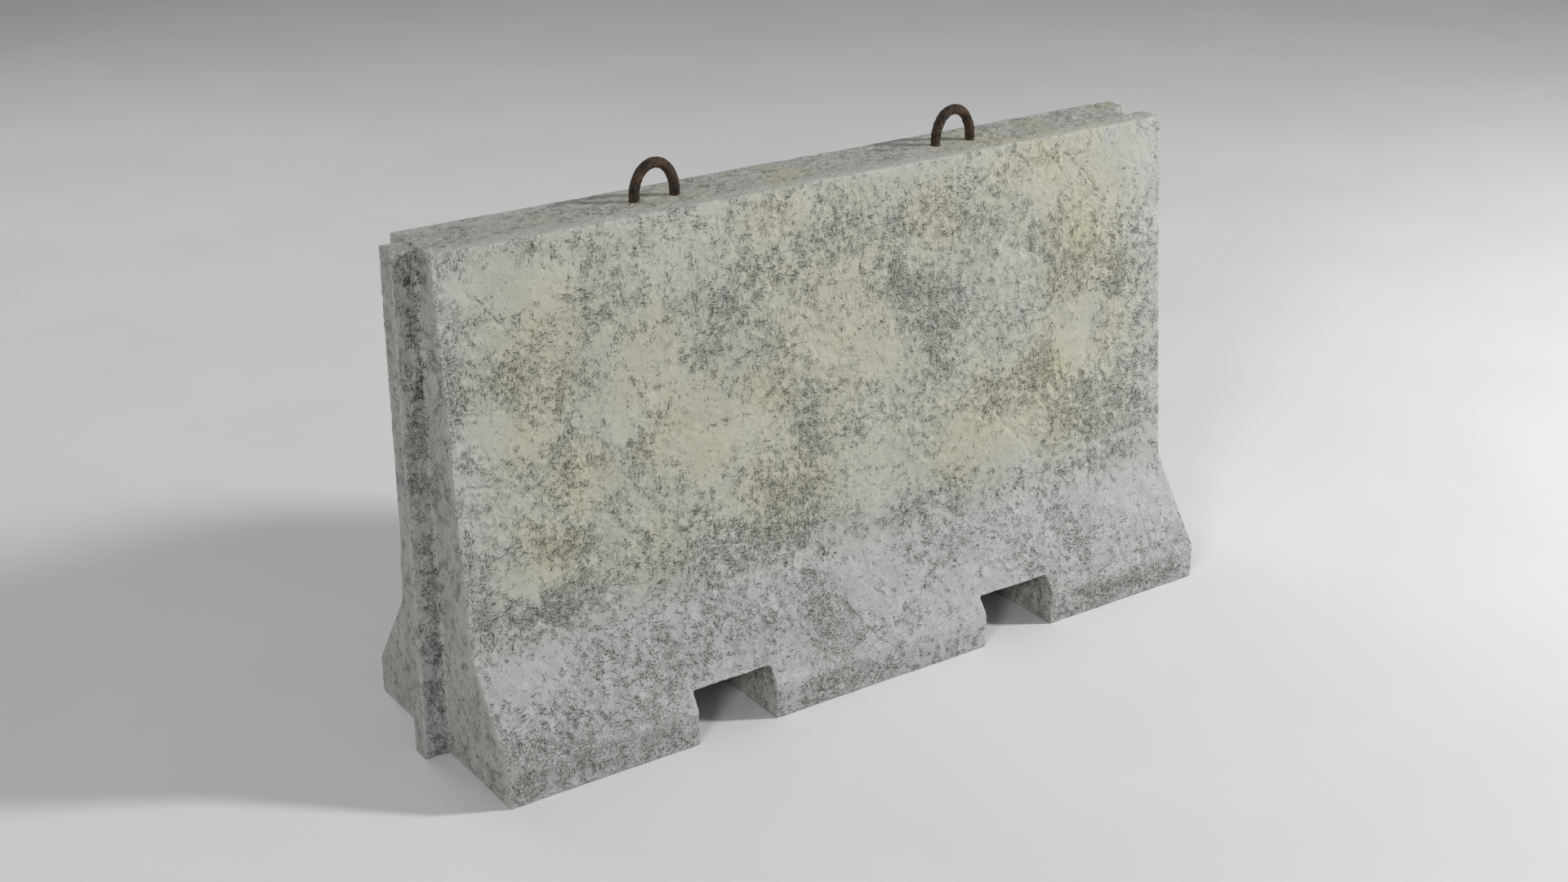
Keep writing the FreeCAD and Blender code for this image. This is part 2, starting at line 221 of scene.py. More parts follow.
# Patches where the skin is densely scored and dirty.
SCORED = [(-0.685, 0.755, .065, .060, .80), (-0.580, 0.715, .055, .050, .85), (-0.505, 0.85, .060, .035, .6),
          (-0.430, 0.56, .060, .045, .75), (-0.585, 0.56, .075, .040, .7), (-0.600, 0.42, .060, .050, .6),
          (0.180, 0.76, .075, .055, .95), (0.270, 0.70, .060, .080, .70), (0.265, 0.60, .045, .045, .7),
          (-0.125, 0.71, .060, .080, .60), (-0.060, 0.52, .045, .110, .95), (-0.090, 0.60, .060, .050, .7),
          (0.405, 0.49, .045, .050, .85), (0.510, 0.52, .050, .065, .90), (0.575, 0.76, .080, .080, .75),
          (0.750, 0.68, .060, .090, .55), (-0.620, 0.315, .080, .045, 1.0), (-0.720, 0.30, .070, .040, .85),
          (-0.280, 0.31, .110, .045, .9), (-0.140, 0.33, .110, .055, .85), (-0.070, 0.40, .070, .060, .8),
          (0.235, 0.315, .110, .040, .7), (0.600, 0.39, .100, .070, .85), (0.780, 0.41, .060, .080, .75),
          (-0.255, 0.76, .050, .120, .5), (0.060, 0.90, .100, .050, .5), (0.360, 0.86, .100, .060, .45),
          (-0.80, 0.74, .040, .100, .8), (-0.80, 0.92, .040, .050, .5), (0.02, 0.855, .30, .04, .45),
          (-0.08, 0.135, .06, .05, .7), (0.42, 0.29, .3, .02, .4), (-0.45, 0.93, .05, .04, .4),
          (-0.43, 0.175, .14, .06, .6), (-0.72, 0.06, .12, .06, .9), (-0.52, 0.05, .09, .05, .75), (-0.09, 0.16, .05, .06, .85),
          (-0.12, 0.04, .09, .05, .6), (0.64, 0.05, .20, .045, .9), (0.585, 0.17, .03, .06, .5), (0.25, 0.20, .10, .05, .35)]
CLEAN = [(-0.700, 0.925, .110, .045, 1.0), (-0.360, 0.90, .090, .060, .7), (-0.260, 0.565, .120, .090, 1.0),
         (0.635, 0.59, .060, .060, .9), (0.760, 0.93, .110, .070, 1.0), (0.130, 0.985, .100, .030, .8),
         (0.090, 0.67, .060, .080, .6), (0.450, 0.36, .090, .070, 1.0), (-0.470, 0.66, .060, .080, .6),
         (-0.670, 0.365, .060, .030, .7), (0.080, 0.38, .080, .070, .7), (-0.300, 0.885, .10, .05, .5),
         (0.75, 0.19, .11, .05, .9), (0.05, 0.19, .08, .06, .8), (-0.75, 0.215, .07, .03, .7), (0.29, 0.13, .09, .04, .7),
         (-0.76, 0.66, .05, .05, .8), (-0.53, 0.55, .05, .06, .5), (0.525, 0.895, .05, .045, .8), (-0.02, 0.66, .08, .05, .6),
         (0.20, 0.345, .12, .045, .6), (-0.19, 0.05, .05, .04, .5), (0.30, 0.05, .10, .03, .5)]
# Where the strokes lean down to the right rather than standing upright and level.
LEANING = [(0.06, 0.74, .13, .13, .9), (0.26, 0.62, .12, .12, .9), (0.12, 0.52, .10, .10, .7), (-0.45, 0.66, .08, .10, .8),
           (0.56, 0.50, .07, .12, .6), (0.62, 0.87, .08, .06, .8), (0.45, 0.75, .12, .08, .6), (-0.33, 0.17, .12, .05, .9),
           (-0.70, 0.90, .08, .06, .9), (-0.75, 0.62, .06, .16, .6), (0.40, 0.35, .10, .05, .5)]
SOOT = [(-0.240, 0.70, .070, .110, .8), (-0.470, 0.93, .060, .060, .55), (0.200, 0.745, .090, .050, .7),
        (-0.610, 0.30, .080, .050, .9), (-0.540, 0.40, .040, .050, .5), (0.600, 0.74, .070, .050, .6),
        (-0.470, 0.88, .05, .04, .5), (-0.06, 0.55, .03, .09, .6), (0.10, 0.29, .2, .02, .4), (-0.09, 0.12, .05, .05, .7)]
# Trowelled folds: open lines in (x, z) with a step that fades away on one side; height in mm, fade in m.
FOLDS = [([(-0.372, 0.571), (-0.345, 0.579), (-0.318, 0.566), (-0.302, 0.563), (-0.275, 0.577), (-0.221, 0.580), (-0.176, 0.571)], 2.0, .030),
         ([(-0.030, 0.398), (0.020, 0.413), (0.091, 0.401), (0.175, 0.388)], 1.8, .030),
         ([(0.175, 0.452), (0.205, 0.440), (0.240, 0.432)], 1.8, .022), ([(0.115, 0.805), (0.170, 0.786), (0.235, 0.768)], 2.0, .022),
         ([(0.403, 0.425), (0.445, 0.400), (0.478, 0.365), (0.499, 0.325)], 2.4, .035),
         ([(-0.143, 0.793), (-0.139, 0.700), (-0.131, 0.692), (-0.060, 0.690)], 1.6, .030),
         ([(-0.500, 0.350), (-0.430, 0.337), (-0.352, 0.300)], 2.0, .030), ([(0.06, 0.355), (0.14, 0.352), (0.21, 0.347)], 1.5, .02),
         ([(0.50, 0.330), (0.56, 0.318), (0.61, 0.322)], 1.9, .025), ([(0.24, 0.345), (0.30, 0.330), (0.36, 0.296)], 1.4, .02),
         ([(0.500, 0.648), (0.540, 0.640), (0.600, 0.650)], 1.9, .03), ([(0.530, 0.300), (0.600, 0.250), (0.580, 0.215)], 1.6, .025),
         ([(0.705, 0.365), (0.725, 0.335), (0.760, 0.330)], 1.6, .02), ([(0.02, 0.20), (0.07, 0.15), (0.06, 0.09)], 1.6, .02),
         ([(-0.35, 0.245), (-0.30, 0.215), (-0.24, 0.16)], 1.5, .025), ([(-0.62, 0.19), (-0.55, 0.165), (-0.50, 0.18)], 1.2, .02),
         ([(-0.22, 0.035), (-0.14, 0.062), (-0.05, 0.052)], 1.5, .02), ([(0.30, 0.23), (0.38, 0.20), (0.42, 0.15)], 1.2, .02)]
# Hairline cracks and gouges: (line, depth in mm, half width in mm)
CRACKS = [([(-0.770, 0.931), (-0.735, 0.898), (-0.703, 0.858)], 1.8, 2.4), ([(-0.700, 0.858), (-0.660, 0.866), (-0.640, 0.880)], 1.0, 2.0),
          ([(0.600, 0.965), (0.640, 0.930), (0.668, 0.900), (0.690, 0.868)], 1.5, 2.0), ([(-0.302, 0.84), (-0.299, 0.79)], 1.2, 1.6),
          ([(0.085, 0.86), (0.078, 0.80)], 1.2, 1.6), ([(-0.050, 0.56), (-0.044, 0.50)], 2.2, 3.0),
          ([(0.110, 0.640), (0.160, 0.540)], 1.0, 1.8), ([(-0.292, 0.46), (-0.290, 0.33)], 1.0, 1.6),
          ([(-0.560, 0.13), (-0.510, 0.09), (-0.490, 0.03)], 1.0, 1.8), ([(-0.03, 0.17), (0.01, 0.11), (0.05, 0.07)], 1.4, 2.0)]


def blobs(x, z, table, warp_u, warp_v, grow=1.0):
    """Soft-edged patches; their outlines wander with the warp."""
    out = np.zeros(len(x), np.float32)
    for cx, cz, rx, rz, s in table:
        q = ((x + warp_u * rx * 0.55 - cx) / rx / grow) ** 2 + ((z + warp_v * rz * 0.55 - cz) / rz / grow) ** 2
        out = np.maximum(out, s * np.exp(-q * 0.9))
    return out


def near_line(x, z, line):
    """Distance to an open line and which side of it, for points near it."""
    best = np.full(len(x), 9.0, np.float32)
    side = np.zeros(len(x), np.float32)
    for (ax, az), (bx, bz) in zip(line, line[1:]):
        dx, dz = bx - ax, bz - az
        size = math.hypot(dx, dz)
        t = np.clip(((x - ax) * dx + (z - az) * dz) / size ** 2, 0, 1)
        px, pz = x - (ax + t * dx), z - (az + t * dz)
        d = np.hypot(px, pz)
        s = (dx * pz - dz * px) / size
        take = d < best
        best = np.where(take, d, best)
        side = np.where(take, s, side)
    return best, side


def rot(u, v, degrees):
    c, s = math.cos(math.radians(degrees)), math.sin(math.radians(degrees))
    return u * c + v * s, v * c - u * s


def pits(u, v, seed, cell, share, small, large):
    """Round air holes: depth 0..1 at each point."""
    gu, gv = np.floor(u / cell), np.floor(v / cell)
    depth = np.zeros(len(u), np.float32)
    for a in (-1, 0, 1):
        for b in (-1, 0, 1):
            iu, iv = (gu + a).astype(np.int32), (gv + b).astype(np.int32)
            h = hashed(iu, iv, seed)
            r1, r2 = (h & np.uint32(1023)) / 1023.0, ((h >> np.uint32(10)) & np.uint32(1023)) / 1023.0
            r3 = ((h >> np.uint32(20)) & np.uint32(1023)) / 1023.0
            h2 = hashed(iu, iv, seed + 91)
            size = small + (large - small) * ((h2 & np.uint32(255)) / 255.0) ** 3
            d = np.hypot(u - (iu + 0.15 + 0.7 * r1) * cell, (v - (iv + 0.15 + 0.7 * r2) * cell) * 1.0) / size
            bowl = np.sqrt(np.clip(1 - d * d, 0, 1))
            depth = np.maximum(depth, np.where(r3 < share, bowl * (size / large), 0))
    return depth


def weathering_and_painted_light(p, n):
    """Relief along the normal in metres (negative goes in) and the masks that colour it: stains, dirty scoring and worn
    edges, with painted shade in the recesses, the pockets and on the end faces and a painted highlight on the edges.
    """
    x, y, z = p[:, 0], p[:, 1], p[:, 2]
    an = np.abs(n)
    face = np.where(an[:, 1] >= np.maximum(an[:, 0], an[:, 2] * 0.8), 1, np.where(an[:, 0] > an[:, 2], 0, 2))
    sign = np.take_along_axis(n, face[:, None], 1)[:, 0] > 0
    u = np.where(face == 0, y, x)
    v = np.where(face == 2, y, z)
    # every face gets its own stretch of the noise plane
    chart = face * 2 + sign
    shift_u, shift_v = chart * 7.31, chart * 3.77
    front = (face == 1) & ~sign
    inner = (face == 1) & ((x < X0 - 0.0005) | ((x > X1 - G_DEPTH) & (np.abs(y) < 0.030)))
    in_pocket = np.zeros(len(x), bool)
    for cx in POCKETS:
        in_pocket |= (np.abs(x - cx) < PW + 0.0012) & (z < PH + 0.0012) & (face != 1)
    un, vn = u + shift_u, v + shift_v
    wu, wv = fbm(un / 0.11, vn / 0.11, 3, 3), fbm(un / 0.11, vn / 0.11, 5, 3)
    big = fbm(un / 0.30, vn / 0.26, 11, 3)
    mid = fbm(un / 0.10, vn / 0.08, 13, 4)
    main = (face == 1) & ~inner
    # --- where the skin is scored: from the listed patches on the two long faces, by noise elsewhere
    dense = 0.36 + 0.30 * fbm(un / 0.16, vn / 0.13, 21, 3) + 0.22 * mid
    hand = 0.41 + 0.28 * mid + 0.10 * big + blobs(x, z, SCORED, wu * 1.3, wv * 1.3) * 0.46 - blobs(x, z, CLEAN, wu, wv) * 0.50
    dense = np.where(main, hand, dense)
    toe = smooth(ZB + 0.03, ZB - 0.02, z) * (face == 1)
    low = smooth(0.085, 0.015, z + 0.02 * wu)
    dense = dense + low * 0.04
    left = smooth(0.10, 0.0, x - X0) * (face == 1)
    dense = dense + left * (0.16 + 0.2 * mid)
    top = (face == 2) & (z > 0.5)
    # the top face's front strip gets fewer strokes here and a painted highlight in the colour masks
    margin = smooth(-0.040, -0.060, y + 0.004 * wu) * top
    dense = np.where(top, dense * 0.70 + 0.09 - 0.22 * margin, dense)
    dense = np.clip(dense, 0, 1)
    # --- short scores, upright and level, some slanting
    qu = un + 0.0045 * noise(un / 0.045, vn / 0.045, 31)
    qv = vn + 0.0045 * noise(un / 0.045, vn / 0.045, 33)
    way = fbm(un / 0.19, vn / 0.16, 41, 2)
    slant = fbm(un / 0.24, vn / 0.20, 43, 2)
    upright = noise(qu / 0.0074, qv / 0.023, 51) + 0.35 * noise(qu / 0.016, qv / 0.070, 52)
    level = noise(qu / 0.025, qv / 0.0074, 53) + 0.35 * noise(qu / 0.070, qv / 0.016, 54)
    du, dv = rot(qu, qv, 38)
    slope_a = noise(du / 0.023, dv / 0.0078, 55)
    du, dv = rot(qu, qv, -52)
    slope_b = noise(du / 0.025, dv / 0.0080, 56)
    grit = noise(qu / 0.0074, qv / 0.0074, 57)
    w_up, w_lev = 1 - smooth(0.05, 0.42, way), 1 - smooth(0.0, 0.40, -way)
    w_sl = smooth(0.02, 0.30, np.abs(slant))
    w_up, w_lev = w_up * (1 - 0.55 * w_sl), w_lev * (1 - 0.55 * w_sl)
    streak_up = np.where((face == 0) | inner, 1.0, w_up)
    score = np.maximum(upright * streak_up, level * np.where((face == 0) | inner, 0.25, w_lev))
    score = np.maximum(score, np.where(slant > 0, slope_a, slope_b) * w_sl * np.where(face == 0, 0.3, 1.0))
    score = np.where(top, np.maximum(level * 0.9, slope_a * 0.6), score)
    flake = fbm(un / 0.060 + 0.5 * wu, vn / 0.050 + 0.5 * wv, 65, 5, 0.58)
    ragged = flake + 0.05 * grit
    flaked = smooth(0.035, 0.075, ragged) + smooth(0.20, 0.235, ragged) + 0.7 * smooth(-0.20, -0.165, ragged)
    share = smooth(-0.25, 0.30, fbm(un / 0.24, vn / 0.2, 67, 2) + 0.5 * (dense - 0.45))
    cut = 0.80 - 0.66 * dense - 0.10 * smooth(0.03, 0.20, flake) * share
    speck = smooth(0.0, 0.36, score + 0.42 * grit - cut)
    # --- ledges where the skin has been trowelled or has flaked
    g = fbm(un / 0.17 + 0.25 * wu, vn / 0.12 + 0.25 * wv, 61, 4) * 5.0
    saw = g - np.floor(g)
    ledge = (smooth(0.0, 0.055, saw) - saw) * smooth(-0.25, 0.35, fbm(un / 0.22, vn / 0.2, 63, 2) + 0.12)
    rough = 0.40 + 0.60 * smooth(0.22, 0.52, dense)
    lumps = noise(un / 0.034, vn / 0.034, 71) * 0.5 + noise(un / 0.018, vn / 0.018, 72) * 0.25
    holes = pits(un, vn, 81, 0.040, 0.12, 0.0018, 0.0036)
    relief = 1.6 * big + 1.5 * mid + 3.8 * ledge * rough - 1.6 * flaked * rough * (0.35 + 0.65 * share) + 1.1 * lumps * (0.4 + dense) - 0.7 * speck * (0.5 + 0.5 * dense) - 1.3 * holes
    relief = relief + 0.20 * grit + 0.16 * noise(un / 0.0062, vn / 0.0062, 73)
    # --- folds and cracks on the front
    jx, jz = x + 0.006 * noise(un / 0.03, vn / 0.03, 91), z + 0.006 * noise(un / 0.03, vn / 0.03, 93)
    line_shade_and_dirt = np.zeros(len(x), np.float32)
    where = np.nonzero(main)[0]
    fx, fz = jx[where], jz[where]
    extra = np.zeros(len(where), np.float32)
    fold_shade_and_crack_dirt = np.zeros(len(where), np.float32)
    for line, height, fade in FOLDS:
        xs, zs = [q[0] for q in line], [q[1] for q in line]
        near = np.nonzero((fx > min(xs) - .09) & (fx < max(xs) + .09) & (fz > min(zs) - .09) & (fz < max(zs) + .09))[0]
        d, s = near_line(fx[near], fz[near], line)
        # the step is on the lower side and fades towards it; past the line's ends it dies away
        over = np.abs(np.abs(s) - d)
        end = np.exp(-(over / 0.006) ** 2)
        high = smooth(0.0012, -0.0022, s)
        extra[near] += height * (1.6 * high * np.exp(-d / fade) - 1.0 * (1 - high) * np.exp(-d / (fade * 0.55))) * end
        # painted shade: a dark line along the foot of each fold's step, which also crowds the strokes there
        fold_shade_and_crack_dirt[near] = np.maximum(fold_shade_and_crack_dirt[near], np.exp(-((s - 0.001) / 0.0022) ** 2) * end * 0.5)
    for line, depth, half in CRACKS:
        xs, zs = [q[0] for q in line], [q[1] for q in line]
        near = np.nonzero((fx > min(xs) - .02) & (fx < max(xs) + .02) & (fz > min(zs) - .02) & (fz < max(zs) + .02))[0]
        d, s = near_line(fx[near], fz[near], line)
        groove = np.exp(-(d / (half * 0.001)) ** 2)
        extra[near] -= depth * groove
        fold_shade_and_crack_dirt[near] = np.maximum(fold_shade_and_crack_dirt[near], groove * 0.8)
    relief[where] += extra
    line_shade_and_dirt[where] = fold_shade_and_crack_dirt
    # --- worn edges
    edge = np.clip((casting(x, y, z, 0.016) - casting(x, y, z)) / 0.0034, 0, 1)
    chip = smooth(0.10, 0.55, fbm(x / 0.045 + y / 0.05, z / 0.045 + y / 0.06, 101, 3) + 0.05)
    bite = smooth(0.42, 0.62, fbm(x / 0.07 + y / 0.04, z / 0.07 - y / 0.04, 105, 2)) * edge ** 1.5
    relief = relief * (1 - 0.6 * edge) - edge ** 2 * (0.3 + 0.9 * chip) - 1.5 * bite
    relief = np.where(in_pocket, relief * 0.75, relief)
    bottom = (face == 2) & (z < 0.02)
    relief = np.where(bottom, relief * 0.25, relief)
    # nothing stands out past the CAD's faces, and the feet stay down on the ground
    relief = np.minimum(relief - 1.0, 0.55)
    relief = np.where(bottom, np.minimum(relief + 1.0, 0.4), relief)
    # --- colour masks
    inland = smooth(0.0, 0.12, x - X0 - 0.02 * wu) * smooth(0.0, 0.14, X1 - 0.03 - x) * smooth(0.28, 0.40, z)
    ochre = np.where(main, blobs(x, z, OCHRE, wu * 1.4, wv * 1.4, 1.18) * (0.66 + 0.3 * mid) + 0.17 * inland,
                     smooth(0.02, 0.42, fbm(un / 0.20, vn / 0.17, 111, 3)) * 0.8)
    above = smooth(ZB - 0.02, ZB + 0.09, z + 0.03 * wu)
    ochre = ochre * np.where(face == 1, above, np.where(top, 0.75, 0.45 * above)) * np.where(x < X0 + 0.001, 0.25, 1.0)
    loops = np.zeros(len(x), np.float32)
    for cx in LOOPS:
        loops = np.maximum(loops, np.exp(-(((x - cx - 0.03) / 0.09) ** 2 + ((y + 0.01) / 0.06) ** 2)))
    ochre = np.where(top, np.maximum(ochre, 0.85 * loops * (0.7 + 0.6 * wu)), ochre)
    soot_and_shade = np.where(main, blobs(x, z, SOOT, wu, wv), 0) + 0.55 * smooth(0.12, 0.55, fbm(un / 0.12, vn / 0.15, 121, 3) + 0.1 * dense)
    # painted shade: every face turned along the length (ends, tongue tip, pockets' side walls) is made darker all over
    soot_and_shade = np.where(face == 0, soot_and_shade * 0.8 + 0.22, soot_and_shade)
    soot_and_shade = np.where(x < X0 - 0.004, np.maximum(soot_and_shade, 0.95 + 0.3 * mid), soot_and_shade)
    black = smooth(0.15, 0.55, fbm(un / 0.030, vn / 0.075, 131, 3) + 0.22)
    # painted shade: darker on the tongue's sides towards its root, on the end face beside the root, and deeper in the
    # groove
    recess = np.zeros(len(x), np.float32)
    beside = smooth(0.050, 0.026, np.abs(y)) * smooth(0.010, 0.0, np.abs(x - X0)) * (x < X0 + 0.004)
    recess = np.maximum(recess, np.where(x < X0 - 0.0005, smooth(-0.045, -0.012, x - X0) * (np.abs(n[:, 1]) > 0.5), 0))
    recess = np.maximum(recess, beside * (x > X0 - 0.004))
    recess = np.maximum(recess, ((x > X1 - G_DEPTH - 0.003) & (np.abs(y) < 0.0285)) * smooth(0.0, 0.03, X1 - x))
    clusters = smooth(-0.02, 0.28, fbm(vn / 0.085, un / 0.08, 133, 3))
    # the painted shade in these recesses is broken up by dark clusters and flecks and grows near the top; the band near
    # the ground adds dark specks
    grime_and_shade = recess * (0.36 + 0.80 * clusters + 0.45 * smooth(0.80, 0.95, z)) * (0.35 + 0.65 * black)
    grime_and_shade = grime_and_shade + low * np.where(face == 1, 0.26, 0.2) * smooth(0.0, 0.35, fbm(un / 0.035, vn / 0.014, 135, 2) + 0.06)
    # painted shade under each pocket's ceiling, and darker towards the top of its walls
    ceiling = in_pocket & (n[:, 2] < -0.5)
    grime_and_shade = np.where(ceiling, 0.55 + 0.3 * mid, grime_and_shade)
    grime_and_shade = np.where(in_pocket & ~ceiling, np.maximum(grime_and_shade, 0.24 + 0.80 * smooth(0.035, 0.10, z)), grime_and_shade)
    # the edge mask mixes chipped, paler arrises with a painted highlight along them and along the top face's front
    # strip
    masks = {"line": np.clip(line_shade_and_dirt + holes * 0.5, 0, 1), "dense": dense, "ochre": np.clip(ochre, 0, 1),
             "soot_and_shade": np.clip(soot_and_shade, 0, 1), "grime_and_shade": np.clip(grime_and_shade, 0, 1),
             "wear_and_highlight": np.clip(edge * (0.55 + 0.6 * chip) + 0.70 * margin, 0, 1), "toe": toe,
             "lean": np.where(main, blobs(x, z, LEANING, wu, wv), np.where(face == 0, 0.35, 0.3 * (1 + mid)))}
    return relief * 0.001, masks


def atlas(p, n):
    """Face-centre charts for the bake map: the chart number of each face; PLACES holds each chart's (u, v) axes and
    offset.
    """
    x, y, z = p[:, 0], p[:, 1], p[:, 2]
    an = np.abs(n)
    face = np.where(an[:, 1] >= np.maximum(an[:, 0], an[:, 2] * 0.8), 1, np.where(an[:, 0] > an[:, 2], 0, 2))
    pos = np.take_along_axis(n, face[:, None], 1)[:, 0] > 0
    chart = face * 2 + pos
    for i, cx in enumerate(POCKETS):
        inside = (np.abs(x - cx) < PW + 0.004) & (z < PH + 0.004) & (z > 0.0035)
        chart = np.where(inside & (face == 0), 6 + 2 * i + pos, chart)
        chart = np.where((np.abs(x - cx) < PW + 0.004) & (face == 2) & (z > 0.06) & (z < 0.2), 10 + i, chart)
    groove = (x > X1 - G_DEPTH - 0.004) & (np.abs(y) < 0.032)
    chart = np.where(groove & (face == 1), 12 + pos, chart)
    chart = np.where(groove & (face == 0) & (x < X1 - 0.02), 14, chart)
    chart = np.where((x < X0 - 0.0002) & (np.abs(y) < 0.032) & (face == 1), 15 + pos, chart)
    return chart


# chart: (first axis, second axis, corner in the atlas less the chart's own low corner)
PLACES = {2: (0, 2, 0.87, 0.0), 3: (0, 2, 0.87, 1.02), 0: (1, 2, 2.04, 0.0), 1: (1, 2, 2.04, 1.02),
          4: (0, 1, 0.87, 2.31), 5: (0, 1, 0.87, 2.70), 6: (1, 2, 2.63, 1.40), 7: (1, 2, 2.63, 1.53), 8: (1, 2, 2.63, 1.66),
          9: (1, 2, 2.63, 1.79), 10: (1, 0, 2.63, 1.12 - POCKETS[0]), 11: (1, 0, 2.63, 1.305 - POCKETS[1]),
          12: (0, 2, 2.40 - 0.81, 0.0), 13: (0, 2, 2.47 - 0.81, 0.0), 14: (1, 2, 2.57, 0.0), 15: (0, 2, 2.62 + 0.87, 0.0), 16: (0, 2, 2.69 + 0.87, 0.0)}
ATLAS = 2.92


def mesh_object(name, verts, faces, masks=None, uv=None, flat=False):
    me = bpy.data.meshes.new(name)
    k = faces.shape[1]
    me.vertices.add(len(verts))
    me.vertices.foreach_set("co", np.ascontiguousarray(verts, np.float32).ravel())
    me.loops.add(faces.size)
    me.loops.foreach_set("vertex_index", np.ascontiguousarray(faces, np.int32).ravel())
    me.polygons.add(len(faces))
    me.polygons.foreach_set("loop_start", np.arange(0, faces.size, k, dtype=np.int32))
    me.update(calc_edges=True)
    me.polygons.foreach_set("use_smooth", np.full(len(faces), not flat))
    for key, value in (masks or {}).items():
        a = me.attributes.new(key, "FLOAT", "POINT")
        a.data.foreach_set("value", np.ascontiguousarray(value, np.float32))
    if uv is not None:
        layer = me.uv_layers.new(name="OFBake")
        layer.uv.foreach_set("vector", np.ascontiguousarray(uv, np.float32).ravel())
    me.validate()
    ob = bpy.data.objects.new(name, me)
    bpy.context.scene.collection.objects.link(ob)
    return ob


# ---- shader helpers -----------------------------------------------------------------------------
class Nodes:
    def __init__(self, name):
        self.mat = bpy.data.materials.new(name)
        self.mat.use_nodes = True
        self.tree = self.mat.node_tree
        self.tree.nodes.clear()
        self.out = self.new("ShaderNodeOutputMaterial")
        self.shader = self.new("ShaderNodeBsdfPrincipled")
        self.join(self.shader.outputs[0], self.out.inputs[0])
        self.coord = self.new("ShaderNodeTexCoord").outputs["Object"]

    def new(self, kind, **props):
        node = self.tree.nodes.new(kind)
        for key, value in props.items():
            setattr(node, key, value)
        return node

    def join(self, a, b):
        self.tree.links.new(a, b)

    def put(self, socket, value):
        if hasattr(value, "links"):
            self.join(value, socket)
        else:
            socket.default_value = value

    def math(self, op, a, b=None, c=None, clamp=False):
        node = self.new("ShaderNodeMath", operation=op, use_clamp=clamp)
        for i, value in enumerate((a, b, c)):
            if value is not None:
                self.put(node.inputs[i], value)
        return node.outputs[0]

    def scaled(self, sx, sy, sz, source=None):
        node = self.new("ShaderNodeMapping")
        node.inputs["Scale"].default_value = (sx, sy, sz)
        self.join(source or self.coord, node.inputs["Vector"])
        return node.outputs[0]

    def vector(self, op, a, b=None, c=None):
        node = self.new("ShaderNodeVectorMath", operation=op)
        for i, value in enumerate((a, b, c)):
            if value is not None:
                self.put(node.inputs[i], value)
        return node.outputs[0]

    def turned(self, degrees, source):
        node = self.new("ShaderNodeMapping")
        node.inputs["Rotation"].default_value = (0, math.radians(degrees), 0)
        self.join(source, node.inputs["Vector"])
        return node.outputs[0]

    def rim(self, step):
        return self.math("MULTIPLY", self.math("MULTIPLY", step, self.math("SUBTRACT", 1.0, step)), 4.0)

    def noise(self, vector, scale=1.0, detail=2.0, rough=0.5, distort=0.0):
        node = self.new("ShaderNodeTexNoise")
        self.put(node.inputs["Vector"], vector)
        node.inputs["Scale"].default_value = scale
        node.inputs["Detail"].default_value = detail
        node.inputs["Roughness"].default_value = rough
        node.inputs["Distortion"].default_value = distort
        return node.outputs["Fac"]

    def voronoi(self, vector, scale, feature="F1", random=1.0):
        node = self.new("ShaderNodeTexVoronoi", feature=feature)
        self.put(node.inputs["Vector"], vector)
        node.inputs["Scale"].default_value = scale
        node.inputs["Randomness"].default_value = random
        return node.outputs["Distance"]

    def ramp(self, value, lo, hi, out_lo=0.0, out_hi=1.0, curve="SMOOTHSTEP"):
        node = self.new("ShaderNodeMapRange", interpolation_type=curve)
        for key, v in (("Value", value), ("From Min", lo), ("From Max", hi), ("To Min", out_lo), ("To Max", out_hi)):
            self.put(node.inputs[key], v)
        return node.outputs["Result"]

    def mix(self, fac, a, b, blend="MIX"):
        node = self.new("ShaderNodeMix", data_type="RGBA", blend_type=blend)
        self.put(node.inputs["Factor"], fac)
        for key, v in (("A", a), ("B", b)):
            socket = [s for s in node.inputs if s.name == key and s.type == "RGBA"][0]
            self.put(socket, v if hasattr(v, "links") else (*v, 1.0))
        return [s for s in node.outputs if s.type == "RGBA"][0]

    def attr(self, name):
        return self.new("ShaderNodeAttribute", attribute_name=name).outputs["Fac"]

    def bump(self, height, distance, strength=1.0, normal=None):
        node = self.new("ShaderNodeBump")
        node.inputs["Strength"].default_value = strength
        node.inputs["Distance"].default_value = distance
        self.join(height, node.inputs["Height"])
        if normal is not None:
            self.join(normal, node.inputs["Normal"])
        return node.outputs[0]


